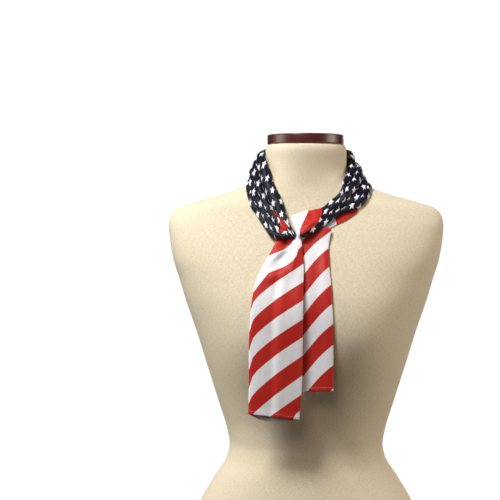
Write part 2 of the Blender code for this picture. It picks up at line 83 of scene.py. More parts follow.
FORM_COLUMNS = ("height", "half_width", "front_depth", "back_depth", "squareness")
FORM_SECTIONS = (
    (0, 166.5, 96, 107, 2.35),
    (5, 170.5, 99.5, 111, 2.35),
    (60, 176.5, 104, 119, 2.35),
    (113, 178.5, 107.5, 124.5, 2.3),
    (157, 178, 109.5, 125.5, 2.3),
    (201, 175, 110, 122.5, 2.25),
    (239, 171.5, 109, 117, 2.2),
    (278, 164.5, 106.5, 109, 2.2),
    (319, 149.5, 101, 98, 2.2),
    (353, 129.7, 92.5, 85, 2.2),
    (382, 112, 84.5, 75, 2.2),
    (399, 108.5, 82, 72, 2.2),
    (420, 112, 82, 73, 2.2),
    (460, 124.2, 86, 80, 2.25),
    (510, 140, 94, 92, 2.3),
    (560, 155.6, 101, 101, 2.35),
    (605, 171.2, 104, 107, 2.45),
    (635, 180.1, 101, 109, 2.55),
    (660, 188, 95, 109, 2.65),
    (688, 193, 84, 104, 2.7),
    (708, 194.8, 74, 97, 2.7),
    (721, 192.5, 67, 90, 2.6),
    (729, 188, 63.5, 86, 2.5),
    (735.5, 178.5, 61, 82, 2.4),
    (740.5, 163, 59, 79, 2.3),
    (745.5, 145, 57.5, 76.5, 2.2),
    (751.5, 122, 56, 73.5, 2.1),
    (757.5, 105, 54.5, 70, 2.05),
    (767.5, 78, 53.5, 65, 2),
    (776, 64.5, 53.5, 62, 2),
    (788, 59, 54, 59.5, 2),
    (803, 57.5, 55.5, 58, 2),
    (813, 57.5, 56.5, 57, 2),
    (819.4, 56.5, 55.5, 56, 2),
    (822.8, 54, 53, 53.5, 2),
)

# Cloth
SHELL = 0.0006
TAIL_THICKNESS = 0.0010
LOOP_THICKNESS = 0.0020
UNDER_THICKNESS = 0.0012
CLOTH_CLEARANCE = 0.0012
TAIL_CLEARANCE = 0.0014
REACH = 0.30
SETTLE_PASSES = 4
NORMAL_PASSES = 3
SHELL_NORMAL_PASSES = 1

# The loop round the neck, and the fan of the knot, as one run of cloth
LOOP_ROWS = 58
LEFT_END_ROWS = 20
FAN_ROWS = 17
LOOP_SPANS = 20
LOOP_FINER_ROWS = 5
LOOP_FINER_SPANS = 4
PLEATED_WIDTH = 0.042
PLEAT_ROUNDNESS = 0.72
LOOP_COLUMNS = ("top_turn", "top_height", "top_gap", "low_turn", "low_height", "low_gap", "swell")
LOOP_STATIONS = (
    (10, 697, 11, 11, 689.5, 11, 0),
    (14, 706, 9, 15, 689, 11, 1),
    (20, 720, 6, 22, 689, 10, 2),
    (27, 738, 4, 28, 690.5, 9, 3),
    (34, 752, 4, 34, 700, 7, 4),
    (42, 765, 4, 42, 714, 5, 5),
    (50, 777, 3.5, 50, 729, 4, 5),
    (60, 790, 3, 60, 749, 3.5, 3.5),
    (75, 804, 2.5, 75, 764, 2.5, 5),
    (92, 814, 2, 92, 770, 4.5, 4.5),
    (120, 819, 2, 120, 771, 3.5, 3),
    (180, 820, 2, 180, 772, 3, 2),
    (235, 819, 4, 235, 770, 3, 1),
    (256, 815.5, 6.5, 256, 767.5, 3, 0.5),
    (272, 803, 6, 272, 764, 2.5, 0.5),
    (288, 787, 4, 288, 758.5, 3, 4),
    (300, 779, 4.5, 300, 747, 3, 3.5),
    (311, 773, 6, 312, 731.5, 3.5, 4),
    (317, 764, 7, 320, 726, 4.5, 4),
    (322, 755, 7, 326, 723, 5, 3),
    (328, 748, 6, 332, 718, 6, 3),
    (336, 740.5, 6, 338.5, 712, 7.5, 3),
)
FAN_STATIONS = (
    (344, 733, 7, 346, 705.5, 9.5, 3),
    (352, 730.5, 8, 354, 698, 11.5, 3),
    (359, 729, 8.5, 360, 692.5, 13.5, 3),
    (366, 726.5, 9, 363.8, 691, 15, 2.5),
    (373, 723.5, 9, 366, 691, 16, 2),
    (378, 720.5, 9, 367.6, 692, 16, 1),
)

# Where the valleys between the loop's pleats lie, as shares of its width from the neck outward,
# how deep each pleat is, and how far its crest leans to the neck
PLEAT_COLUMNS = ("turn", "valley_1", "valley_2", "valley_3",
                 "depth_1", "depth_2", "depth_3", "depth_4", "lean")
PLEAT_STATIONS = (
    (10, 0.38, 0.62, 0.82, 2, 2, 1.5, 1, 1),
    (20, 0.38, 0.64, 0.84, 4, 3.4, 2.4, 1.6, 0.9),
    (34, 0.40, 0.66, 0.86, 5, 4, 2.8, 1.8, 0.85),
    (50, 0.38, 0.60, 0.82, 5, 3, 3, 1.8, 0.85),
    (75, 0.34, 0.56, 0.80, 4.4, 3.4, 2.6, 1.6, 0.9),
    (110, 0.28, 0.50, 0.76, 4, 3.6, 3.2, 2.2, 1),
    (150, 0.24, 0.46, 0.74, 3.4, 3.4, 4.2, 3.6, 1),
    (200, 0.26, 0.54, 0.76, 3.6, 4.2, 3.2, 3.6, 1),
    (245, 0.22, 0.52, 0.78, 3.2, 4, 2.8, 2, 1),
    (275, 0.26, 0.54, 0.80, 3.4, 4.4, 2.4, 1.6, 0.95),
    (300, 0.24, 0.54, 0.80, 2.8, 4.8, 2.6, 2, 0.9),
    (316, 0.22, 0.56, 0.80, 1.8, 4.4, 2.4, 2.4, 0.9),
    (330, 0.22, 0.54, 0.78, 1.2, 2.8, 1.6, 1.8, 1),
    (344, 0.25, 0.50, 0.75, 1, 1.4, 1, 1, 1),
    (378, 0.25, 0.50, 0.75, 0.3, 0.3, 0.3, 0.3, 1),
)
PLEAT_HIDDEN_CLOTH = 0.007
PLEAT_FULL_DEPTH = 0.008
PLEAT_NARROWING = 1.5
VALLEY_WIDTH = 0.012

# How pleats vary along the loop: the share of their depth, the pace by turn, and the shift from one
# pleat to the next. How the cloth ripples: waves by turn, and how far they slant over its width.
PLEAT_VARIATION = ((0.12, 0.11, 2.1), (0.08, 0.23, 1.0))
RIPPLE_WAVES = ((23.0, 0.0), (37.0, 5.0))
RIPPLE_HEIGHT = 0.0005

CURL_RADIUS = 0.0018
CURL_LEAST_RADIUS = 0.0003
CURL_SHARE = 0.14
CURL_ROOM = 0.0009
CURL_STEPS = 6
CURL_END = math.radians(195)
LOOP_FACING = -1.0
PRINT_SQUARE_AT = (35.0, 315.0)
PRINT_EASE = (80.0, 260.0)

# The inner layer, which shows below the right half of the loop
UNDER_ROWS = 20
UNDER_SPANS = 4
UNDER_FINER = 5
UNDER_STATIONS = (
    (309, 740, 1.4, 313, 726, 1.4, 0),
    (317, 731, 1.6, 320, 718, 1.6, 0.5),
    (324, 725.5, 1.8, 326.5, 712.5, 1.8, 0.5),
    (331, 720, 2, 333.5, 708, 2, 0.5),
    (337, 715, 2.2, 339.5, 703.5, 2.2, 0.5),
    (343, 711, 2.4, 346, 700, 2.4, 0),
)

# The two tails, folded double lengthwise: each row gives the two edges seen from the front
TAIL_COLUMNS = ("fold_x", "fold_height", "open_x", "open_height")
TAIL_FRONT_SPANS = 8
TAIL_FOLD_SPANS = 4
TAIL_BACK_SPANS = 6
TAIL_DEPTH_SPANS = 24
TAIL_FINER_ROWS = 6
TAIL_FINER_SPANS = 5
TAIL_ROLL_WIDTH = 0.008
TAIL_ROLL_SHARE = 0.3
TAIL_SEPARATION_AT_FOLD = 0.0050
TAIL_SEPARATION_AT_EDGE = 0.0022
TAIL_PRESSED_ROWS = 6
BACK_LAYER_DROP_POWER = 8
BACK_LAYER_SLANT = 0.36
HEM_WIDTH = 0.0055
HEM_EDGE = 0.0008
HEM_THICKNESS = 0.0012

FRONT_TAIL_STATIONS = (
    (-37, 700, -12, 698),
    (-41.8, 689.6, -10.3, 690.3),
    (-49.5, 674, -8.5, 679.3),
    (-57.1, 660, -7.3, 665.7),
    (-66, 644, -6.4, 646.7),
    (-72.8, 626, -7.3, 624),
    (-76.9, 606, -7.8, 606),
    (-79.6, 576, -8.5, 576),
    (-81, 538, -8.9, 538),
    (-81, 498, -9.4, 498),
    (-81.8, 451.7, -13.2, 443.9),
)
BACK_TAIL_STATIONS = (
    (31, 703.8, -21, 702),
    (31.5, 698.5, -23, 690),
    (27.5, 677, -26, 672),
    (28.2, 651, -30, 649),
    (30.4, 626, -33.5, 626),
    (31.5, 600, -36, 600),
    (32.8, 575, -37, 575),
    (33, 530, -37, 530),
    (32.8, 483, -37, 480),
)

# Soft ridges and troughs of the cloth: a run from one place to another in the picture, with its
# half width and height in millimetres
CREASE_COLUMNS = ("picture_x0", "picture_y0", "picture_x1", "picture_y1", "half_width", "height")
LOOP_CREASES = (
    (259.5, 160, 260.5, 183, 2.8, -4),
    (260.5, 181, 268, 200, 3, -4.6),
    (267.5, 197, 274, 213, 2.6, -3.8),
    (246.5, 191, 259, 186, 2.4, -1.5),
    (248, 202, 262, 196, 2.2, -1.6),
    (252, 214, 266, 207, 2.4, -1.3),
    (249, 178, 257, 172, 2, -1.2),
    (265, 180, 271.5, 173, 2.2, -1.1),
    (270, 194, 277.5, 189, 2.2, -1.2),
    (348, 177, 361, 175, 2.4, -2),
    (364, 180, 357, 194, 3.2, -4.2),
    (357, 192, 344, 207, 3.2, -4.2),
    (346, 205, 328, 214.5, 2.8, -3),
    (304, 231, 319, 220, 5, 4.6),
    (342, 194, 351, 187, 2.2, -1.4),
    (333, 202, 343, 199, 2.2, -1.2),
    (352, 163, 361, 160, 2.2, -1.2),
)
FRONT_CREASES = (
    (298.5, 239, 270, 262, 4.5, 3),
    (299, 241, 291, 274, 5, 4.2),
    (287, 272, 264, 280, 7, 2.6),
    (295, 241, 282, 247, 4.4, -3.2),
    (288, 251, 277, 261, 4.5, -4.2),
    (299, 262, 299, 345, 6, 2.2),
    (284, 290, 279, 410, 26, 2.8),
    (299, 335, 299, 415, 6, 2),
)
BACK_CREASES = (
    (309, 246, 312, 330, 6, 1.2),
    (325, 243, 324, 300, 5, 1.2),
    (321, 300, 322, 385, 8, 1),
)

# The same at the nape, where a run's ends are given by turn and by share of the loop's width
NAPE_CREASE_COLUMNS = ("turn_0", "share_0", "turn_1", "share_1", "half_width", "height")
NAPE_CREASES = (
    (104, 0.20, 150, 0.42, 3, -1.4),
    (128, 0.64, 175, 0.50, 3.5, -1.6),
    (158, 0.14, 206, 0.30, 3, -1.2),
    (150, 0.86, 188, 0.74, 3, -1.3),
    (192, 0.58, 240, 0.68, 3.5, -1.6),
    (214, 0.36, 250, 0.22, 3, -1.2),
)
NAPE_TURNS = (100.0, 254.0)
NAPE_RADIUS = 0.060
NAPE_WIDTH = 0.048
CREASE_END_SHARE = 0.02
CREASE_TAPER = 0.5

# Print
STAR_RADIUS = 0.0057
STAR_CELL_ACROSS = 0.0254
STAR_CELL_ALONG = 0.0232
STAR_WAIST = 0.47
STAR_SOFTNESS = 0.00030
STAR_TILT = 0.12
STRIPE_SOFTNESS = 0.05
EDGE_SOFTNESS = 0.20

BEND_COLUMNS = ("picture_across", "picture_drop")
FRONT_TOP_BEND = ((0, 0), (4.2, 4), (6.7, 10.5), (10.7, 15.6), (18.2, 20.7), (27.2, 24.3),
                  (35.4, 27.5), (41, 35), (47, 43), (52, 50), (200, 170))
FRONT_LOW_BEND = ((0, 0), (13.8, 8.8), (26, 17), (37, 25.5), (45, 32.5), (49.5, 38),
                  (51.5, 44), (53, 50), (200, 160))
BACK_BEND = ((0, 0), (5, 4), (10, 8.5), (15, 13.5), (21, 20.5), (25.5, 26),
             (29, 30.5), (40, 44), (200, 200))
STRIPE_COLUMNS = ("picture_row", "top_bend", "steepness")
FRONT_STRIPES = (
    (195, 1, 1), (212, 1, 1), (229, 1, 1), (245.6, 1, 1),
    (263.8, 0, 1), (281.7, 0, 1), (300.2, 0, 1), (319.3, 0, 1),
    (337.1, 0, 1.03), (355.6, 0, 1.08), (375.4, 0, 1.15), (394.5, 0, 1.15),
    (410.5, 1, 1), (430, 0, 1),
)
BACK_STRIPES = tuple((row, 0, 1) for row in (194, 212, 231.3, 248.5, 267, 284.8, 304, 323.8, 344.8,
                                             365.2, 388.5, 410))
FIRST_STRIPE = -2

# Each tail: facing is 1 where its open edge is at the right, and its back layer hangs lower by the
# drop at the hem
FRONT_TAIL = {"stations": FRONT_TAIL_STATIONS, "rows": 27, "back_drop": 0.011, "facing": 1.0,
              "creases": FRONT_CREASES, "stripes": FRONT_STRIPES,
              "bends": (FRONT_TOP_BEND, FRONT_LOW_BEND)}
BACK_TAIL = {"stations": BACK_TAIL_STATIONS, "rows": 23, "back_drop": 0.0, "facing": -1.0,
             "creases": BACK_CREASES, "stripes": BACK_STRIPES, "bends": (BACK_BEND,)}

# Where the print changes on the loop, the fan and the inner layer
FAN_START_TURN = 338.0
LEFT_END_TURN = 60.0
FAR_OUTSIDE = -9.0
LINE_COLUMNS = ("picture_row", "picture_column")
FAN_NAVY_LINE = ((205, 322), (214, 321.8), (218, 320.4), (221.5, 318.4), (225, 315.8),
                 (228, 312.6), (231, 307.8), (233.5, 303.2), (235.5, 300.2), (240, 298))
FAN_WHITE_LINE = ((205, 309.5), (210, 308.5), (222.6, 303), (230, 300), (236.5, 299.4),
                  (244, 299.2))
UNDER_WHITE_LINE = ((205, 334), (217, 335), (222, 336), (230, 338))
PATCH_COLUMNS = ("picture_row", "picture_left", "picture_right")
RED_WEDGE = ((209, 271.4, 271.4), (211, 272.2, 273), (215, 275.6, 277.4),
             (219, 279.2, 281.6), (223, 280.2, 285.2), (227, 280.2, 288.6),
             (230.5, 280.2, 285), (234.5, 280.4, 280.4))
WHITE_WEDGE_TOP = ((220, 283.6, 283.6), (222.5, 285.2, 286.8), (226, 288.2, 289.6),
                   (227.6, 289.4, 289.4))
WHITE_WEDGE_LOW = ((230.6, 287.4, 287.4), (231.6, 284, 287.4), (233.4, 281.8, 284.6),
                   (234.4, 281.8, 281.8))

# Stitches of the hems
STITCH_LINE = 0.0042
STITCH_STEP = 0.0030
STITCH_LENGTH = 0.0021
STITCH_RADIUS = 0.00022
STITCH_SIDES = 6
STITCH_PROFILE = ((0.0, 0.35), (0.15, 0.8), (0.5, 1.0), (0.85, 0.8), (1.0, 0.35))

# Studio
FLOOR_RADIUS = 2.2
FLOOR_SIDES = 96
FLOOR_DROP = 0.0005
BACKDROP_STRENGTH = 1.05
FILL_COLOUR = (1.0, 0.9, 0.8)
FILL_STRENGTH = 0.03
LIGHT_COLUMNS = ("name", "place", "aimed_height", "size", "colour", "power")
LIGHTS = (
    ("key_light", (-0.791, -0.943, 2.256), 0.68, 0.6, (0.93, 0.97, 1.0), 46.0),
    ("front_light", (-0.583, -2.175, 1.98), 0.68, 0.8, (1.0, 0.82, 0.72), 10.0),
    ("right_wall", (1.962, -0.346, 0.854), 0.68, 1.0, (1.0, 0.93, 0.82), 20.5),
    ("left_wall", (-1.973, -0.173, 0.958), 0.68, 1.0, (1.0, 1.0, 0.95), 15.0),
    ("back_light", (0.5, 2.1, 1.1), 0.5, 1.4, (1.0, 0.96, 0.9), 30.0),
)

# Colours, as shown, out of 255
JERSEY = (240, 226, 200)
JERSEY_DEEP = (217, 200, 167)
WOOD = (104, 44, 38)
WOOD_DEEP = (66, 26, 25)
NAVY = (23, 21, 37)
RED = (196, 44, 36)
WHITE = (244, 241, 242)
WRONG_SIDE = (222, 205, 203)
WRONG_SIDE_FADE = 0.45
THREAD = (214, 190, 186)
FLOOR = (240, 240, 242)

# Surfaces: scales are per metre, a shade is what the darkest and the lightest places are dimmed to
NOISE_SPAN = (0.3, 0.7)
SATIN_ROUGHNESS = 0.46
SATIN_SPECULAR = 0.16
CRINKLE_SCALE = 70.0
CRINKLE_STRETCH = 2.2
# Painted shade of the crinkles: how far the colour is dimmed in their hollows
CRINKLE_PAINTED_SHADE = (0.93, 1.0)
CRINKLE_DEPTH = 0.0005
THREAD_SCALE = 900.0
WEAVE_STRETCH = 6.0
WEAVE_SHADE = (0.95, 1.0)
WEAVE_DEPTH = 0.00006
JERSEY_ROUGHNESS = 0.92
LEVEL_STRETCH = 0.25
UPRIGHT_STRETCH = 0.2
LEVEL_SHARE = 0.55
THREAD_SPAN = (0.36, 0.64)
JERSEY_DEPTH = 0.00045
CLOUD_SCALE = 12.0
CLOUD_SHADE = (0.965, 1.0)
WOOD_ROUGHNESS = 0.34
GRAIN_SCALES = (6.0, 60.0, 220.0)
GRAIN_SPAN = (0.32, 0.68)
PORE_SCALES = (60.0, 700.0, 1600.0)
PORE_SPAN = (0.25, 0.55)
PORE_SHADE = (0.8, 1.0)
PORE_DEPTH = 0.00006
THREAD_ROUGHNESS = 0.7
TWIST_SCALE = 2500.0
TWIST_SHARE = (0.0, 0.35)
TWIST_DEPTH = 0.00005
FLOOR_ROUGHNESS = 0.95
GRIT_SCALE = 40.0
GRIT_DEPTH = 0.0002


def columns_of(names, rows):
    """The columns of a table by name, lengths in metres, other values as they are."""
    table = np.array(rows, dtype=float)
    return {name: table[:, i] * (MM if LENGTH_NAME.search(name) else 1.0)
            for i, name in enumerate(names)}


def slopes_of(places, values):
    """Slopes at the given places that keep a curve free of overshoot."""
    steps = np.diff(places)
    rises = np.diff(values) / steps
    slopes = np.zeros(len(places))
    slopes[0] = rises[0]
    slopes[-1] = rises[-1]
    for i in range(1, len(places) - 1):
        if rises[i - 1] * rises[i] > 0:
            before = 2 * steps[i] + steps[i - 1]
            after = steps[i] + 2 * steps[i - 1]
            slopes[i] = (before + after) / (before / rises[i - 1] + after / rises[i])
    return slopes


def smooth_curve(places, values, wanted):
    """Values of a smooth curve through the given ones, at the wanted places."""
    places = np.asarray(places, dtype=float)
    values = np.asarray(values, dtype=float)
    slopes = slopes_of(places, values)
    wanted = np.clip(np.asarray(wanted, dtype=float), places[0], places[-1])
    i = np.clip(np.searchsorted(places, wanted) - 1, 0, len(places) - 2)
    step = places[i + 1] - places[i]
    t = (wanted - places[i]) / step
    start = values[i] * (1 + 2 * t) * (1 - t) ** 2 + slopes[i] * step * t * (1 - t) ** 2
    end = values[i + 1] * t * t * (3 - 2 * t) + slopes[i + 1] * step * t * t * (t - 1)
    return start + end


def spline_through(values, finer):
    """A natural spline through evenly spaced rows of values, each step parted into finer ones."""
    count = len(values)
    system = np.eye(count)
    right = np.zeros(values.shape)
    for i in range(1, count - 1):
        system[i, i - 1:i + 2] = (1.0, 4.0, 1.0)
    right[1:-1] = 6 * (values[2:] - 2 * values[1:-1] + values[:-2])
    bends = np.linalg.solve(system, right.reshape(count, -1)).reshape(values.shape)
    wanted = np.arange((count - 1) * finer + 1) / finer
    i = np.minimum(wanted.astype(int), count - 2)
    t = (wanted - i).reshape((-1,) + (1,) * (values.ndim - 1))
    s = 1 - t
    return (s * values[i] + t * values[i + 1]
            + ((s ** 3 - s) * bends[i] + (t ** 3 - t) * bends[i + 1]) / 6)


def finer_grid(grid, rows, spans):
    """A grid of points carried smoothly to more rows and spans."""
    tall = spline_through(grid, rows)
    return spline_through(tall.swapaxes(0, 1), spans).swapaxes(0, 1)


# ---------------------------------------------------------------- meshes

def link(made):
    bpy.context.scene.collection.objects.link(made)
    return made


def make_object(name, vertices, faces, material, fields=None):
    """A smooth mesh, with a named number for each vertex where fields gives them."""
    mesh = bpy.data.meshes.new(name)
    mesh.from_pydata([tuple(v) for v in vertices], [], faces)
    for field, values in (fields or {}).items():
        attribute = mesh.attributes.new(field, "FLOAT", "POINT")
        attribute.data.foreach_set("value", np.asarray(values, dtype=np.float32).ravel())
    body = bmesh.new()
    body.from_mesh(mesh)
    bmesh.ops.recalc_face_normals(body, faces=body.faces)
    body.to_mesh(mesh)
    body.free()
    mesh.shade_smooth()
    mesh.materials.append(material)
    return link(bpy.data.objects.new(name, mesh))


def tree_of(vertices, faces):
    return BVHTree.FromPolygons([tuple(v) for v in vertices], [tuple(f) for f in faces])


def surface_of(made):
    """A search tree of an object's faces, for laying cloth on it."""
    return tree_of([v.co for v in made.data.vertices], [p.vertices for p in made.data.polygons])


def stack_rings(rings):
    """Vertices and faces of a closed body through level rings of equal length."""
    count = len(rings[0])
    vertices = [point for ring in rings for point in ring]
    faces = [tuple(range(count - 1, -1, -1))]
    for level in range(len(rings) - 1):
        for side in range(count):
            near = level * count + side
            far = level * count + (side + 1) % count
            faces.append((near, far, far + count, near + count))
    faces.append(tuple(range((len(rings) - 1) * count, len(rings) * count)))
    return vertices, faces


# ---------------------------------------------------------------- dress form

def form_ring_heights(sections):
    heights = [sections["height"][0]]
    for low, high in zip(sections["height"][:-1], sections["height"][1:]):
        parts = max(2, math.ceil((high - low) / FORM_RING_STEP))
        heights += [low + (high - low) * (i + 1) / parts for i in range(parts)]
    return heights


def bust_swell(x, height):
    rise = BUST_RISE_ABOVE if height > BUST_HEIGHT else BUST_RISE_BELOW
    across = (abs(x) - BUST_SPREAD) / BUST_HALF_WIDTH
    return BUST_SWELL * math.exp(-across ** 2 - ((height - BUST_HEIGHT) / rise) ** 2)


def form_ring(sections, height):
    """One level section: a squared ellipse, deeper behind than in front, with the bust's swell."""
    size = {name: float(smooth_curve(sections["height"], values, height))
            for name, values in sections.items()}
    power = 2.0 / size["squareness"]
    ring = []
    for side in range(FORM_SIDES):
        angle = 2 * math.pi * side / FORM_SIDES
        wide, deep = (math.copysign(abs(share) ** power, share)
                      for share in (math.cos(angle), math.sin(angle)))
        x = size["half_width"] * wide
        y = deep * (size["back_depth"] if deep > 0 else size["front_depth"])
        if deep < 0:
            y -= bust_swell(x, height) * abs(deep) ** BUST_SIDE_BLEND
        ring.append((x, y, height))
    return ring


def build_form(material):
    sections = columns_of(FORM_COLUMNS, FORM_SECTIONS)
    rings = [form_ring(sections, height) for height in form_ring_heights(sections)]
    girth = [FORM_GIRTH_RADIUS * 2 * math.pi * side / FORM_SIDES for side in range(FORM_SIDES)]
    fields = {"across": girth * len(rings), "along": [p[2] for ring in rings for p in ring]}
    return make_object("form_cover", *stack_rings(rings), material, fields)


def build_cap(material):
    """The wooden disc on the neck, its edges rounded."""
    bottom = FORM_SECTIONS[-1][0] * MM + CAP_GAP
    top = bottom + CAP_THICKNESS
    turns = [i * math.pi / 2 / CAP_ARC_STEPS for i in range(CAP_ARC_STEPS + 1)]
    outline = [(CAP_RADIUS - CAP_ROUNDING * (1 - math.sin(a)),
                bottom + CAP_ROUNDING * (1 - math.cos(a))) for a in turns]
    outline += [(CAP_RADIUS - CAP_ROUNDING * (1 - math.cos(a)),
                 top - CAP_ROUNDING * (1 - math.sin(a))) for a in turns]
    rings = []
    for reach, height in outline:
        sides = [2 * math.pi * side / CAP_SIDES for side in range(CAP_SIDES)]
        rings.append([(reach * math.cos(a), reach * math.sin(a), height) for a in sides])
    cap = make_object("form_cap", *stack_rings(rings), material)
    cap.data.set_sharp_from_angle(angle=CAP_SHARP_ANGLE)
    return cap


# ---------------------------------------------------------------- cloth

def run_of(points):
    """How far along a line of points each one lies."""
    return np.concatenate([[0.0], np.cumsum(np.linalg.norm(np.diff(points, axis=0), axis=1))])


def unit(vectors):
    return vectors / np.maximum(np.linalg.norm(vectors, axis=-1, keepdims=True), 1e-9)


def relax(grid, passes=1):
    """Soften a grid of points, leaving its rim as it is."""
    soft = grid.copy()
    for _ in range(passes):
        inner = soft[:-2, 1:-1] + soft[2:, 1:-1] + soft[1:-1, :-2] + soft[1:-1, 2:]
        soft[1:-1, 1:-1] = 0.5 * soft[1:-1, 1:-1] + 0.125 * inner
    return soft


def sheet_normals(points, passes=NORMAL_PASSES):
    """Directions square to a grid of points, softened so that a wall stays even."""
    along = np.gradient(points, axis=0)
    across = np.gradient(points, axis=1)
    normals = unit(np.cross(across, along))
    for _ in range(passes):
        wide = np.pad(normals, ((1, 1), (1, 1), (0, 0)), mode="edge")
        around = wide[:-2, 1:-1] + wide[2:, 1:-1] + wide[1:-1, :-2] + wide[1:-1, 2:]
        normals = unit(normals + 0.25 * around)
    return normals


def wall_shape(points, normals, thickness):
    """Vertices and faces of a closed wall on a grid of points, which is its middle surface."""
    rows, spans = points.shape[:2]
    sides = (points + normals * thickness / 2, points - normals * thickness / 2)
    vertices = np.concatenate([side.reshape(-1, 3) for side in sides])
    back = rows * spans
    faces = []
    for i in range(rows - 1):
        for j in range(spans - 1):
            a = i * spans + j
            quad = (a, a + 1, a + 1 + spans, a + spans)
            faces.append(quad)
            faces.append(tuple(back + k for k in reversed(quad)))
    rim = list(range(spans))
    rim += [i * spans + spans - 1 for i in range(1, rows)]
    rim += [(rows - 1) * spans + j for j in range(spans - 2, -1, -1)]
    rim += [i * spans for i in range(rows - 2, 0, -1)]
    for near, far in zip(rim, rim[1:] + rim[:1]):
        faces.append((far, near, back + near, back + far))
    return vertices, faces


def shell(name, points, facing, material, fields, thickness=SHELL):
    """A thin closed shell of cloth, whose printed side is where facing turns the normals to."""
    normals = facing * sheet_normals(points, SHELL_NORMAL_PASSES)
    vertices, faces = wall_shape(points, normals, thickness)
    doubled = {field: np.concatenate([values.ravel()] * 2) for field, values in fields.items()}
    doubled["wrong_side"] = np.repeat((0.0, 1.0), len(vertices) // 2)
    return make_object(name, vertices, faces, material, doubled)


def lift(point, outward, supports, clearance):
    """Move a point outward until it is clear of every surface under it."""
    start = point + outward * REACH
    raised = 0.0
    for support in supports:
        hit = support.ray_cast(Vector(start), Vector(-outward), 2 * REACH)[0]
        if hit is not None:
            raised = max(raised, float(np.dot(np.array(hit) - point, outward)) + clearance)
    return point + outward * raised


def widest_nearby(field, row_reach, span_reach):
    """The largest value at each place of a grid and its neighbours within reach."""
    wide = np.pad(field, ((row_reach, row_reach), (span_reach, span_reach)), mode="edge")
    rows, spans = field.shape
    return np.max([wide[i:i + rows, j:j + spans] for i in range(2 * row_reach + 1)
                   for j in range(2 * span_reach + 1)], axis=0)


def settle(least, passes):
    """Ease a grid of distances so that none is less than the least."""
    eased = least
    for _ in range(passes):
        wide = np.pad(eased, 2, mode="edge")[:, :, None]
        eased = np.maximum(relax(wide, 2)[2:-2, 2:-2, 0], least)
    return eased


def lay_on(points, outward, supports, clearance):
    """Lay a grid of points on its supports, rising smoothly over their edges."""
    needed = np.zeros(points.shape[:2])
    for i in range(points.shape[0]):
        for j in range(points.shape[1]):
            lifted = lift(points[i, j], outward[i, j], supports, clearance)
            needed[i, j] = np.linalg.norm(lifted - points[i, j])
    raised = settle(widest_nearby(needed, 2, 2), SETTLE_PASSES)
    return points + outward * raised[:, :, None]


def round_neck(turn, height, gap, supports):
    """A point off the form by a gap, at a turn round the neck and a height."""
    outward = np.array((-math.sin(math.radians(turn)), -math.cos(math.radians(turn)), 0.0))
    return lift(np.array((0.0, 0.0, height)), outward, supports, gap)


def long_edge(table, side, form):
    """Points along the top or the low edge of a band, from the columns of that side."""
    places = zip(*(table[side + name] for name in ("_turn", "_height", "_gap")))
    return np.array([round_neck(*place, [form]) for place in places])


def band(stations, row_counts, spans, form):
    """Middle surface of a band round the neck before it is pleated, its outward directions, and
    the turn at each row. row_counts holds (station, rows) pairs."""
    table = columns_of(LOOP_COLUMNS, stations)
    run = run_of((long_edge(table, "top", form) + long_edge(table, "low", form)) / 2)
    places = [0.0]
    for station, rows in row_counts:
        places += list(np.linspace(places[-1], run[station], rows)[1:])
    table = {name: smooth_curve(run, values, places) for name, values in table.items()}
    points = np.zeros((len(places), spans + 1, 3))
    outward = np.zeros(points.shape)
    across = np.linspace(0.0, 1.0, spans + 1)
    edges = zip(long_edge(table, "top", form), long_edge(table, "low", form))
    for i, (top, low) in enumerate(edges):
        first, last = table["top_turn"][i], table["low_turn"][i]
        turns = np.radians(first + (last - first) * across)
        outward[i] = np.stack([-np.sin(turns), -np.cos(turns), np.zeros(spans + 1)], axis=1)
        square = unit(np.cross(low - top, np.cross(outward[i, spans // 2], low - top)))
        rise = 4 * table["swell"][i] * across * (1 - across)
        points[i] = top + np.outer(across, low - top) + np.outer(rise, square)
    return points, outward, table["top_turn"]


def arc_lengths(points, axis):
    """How far along the cloth each point of a grid lies from its first row or span."""
    steps = np.linalg.norm(np.diff(points, axis=axis), axis=-1)
    return np.pad(np.cumsum(steps, axis=axis), ((1 - axis, 0), (axis, 0)))


def print_fields(points):
    """The cloth's own lengths at each point, which the print is laid out by."""
    return {"across": arc_lengths(points, 1), "along": arc_lengths(points, 0)}


def picture_pixel(points):
    """The size of one pixel of the photo where points are, in metres."""
    return (points[..., 1] - CAMERA_PLACE[1]) / PICTURE_FOCUS


def in_picture(points):
    """Where points show in the photo: pixels across, and down."""
    pixel = picture_pixel(points)
    across = PICTURE_CENTRE + (points[..., 0] - CAMERA_PLACE[0]) / pixel
    return across, PICTURE_HORIZON - (points[..., 2] - CAMERA_PLACE[2]) / pixel


def crease_rise(places, unit_size, table):
    """How far soft ridges lift each point, where the ridges run between places that are given in
    units of a size in metres."""
    x, y = places
    x0, y0, x1, y1, half_width, height = table.values()
    rise = np.zeros(x.shape)
    for i in range(len(height)):
        run = (x1[i] - x0[i], y1[i] - y0[i])
        length = math.hypot(*run)
        t = ((x - x0[i]) * run[0] + (y - y0[i]) * run[1]) / length ** 2
        off = np.abs((x - x0[i]) * run[1] - (y - y0[i]) * run[0]) / length * unit_size
        beyond = np.maximum(np.maximum(-t, t - 1), 0) * length * unit_size
        reach = (off ** 2 + beyond ** 2) / half_width[i] ** 2
        t = np.clip(t, CREASE_END_SHARE, 1 - CREASE_END_SHARE)
        rise += height[i] * np.exp(-reach) * np.sin(math.pi * t) ** CREASE_TAPER
    return rise


# ---------------------------------------------------------------- loop and fan

def narrowed(points, share):
    """A grid with each row drawn in at both ends by a share of its width."""
    places = np.linspace(0.0, 1.0, points.shape[1])
    made = np.zeros(points.shape)
    for i in range(len(points)):
        wanted = share[i] + places * (1 - 2 * share[i])
        made[i] = np.stack([np.interp(wanted, places, points[i, :, k]) for k in range(3)], axis=1)
    return made


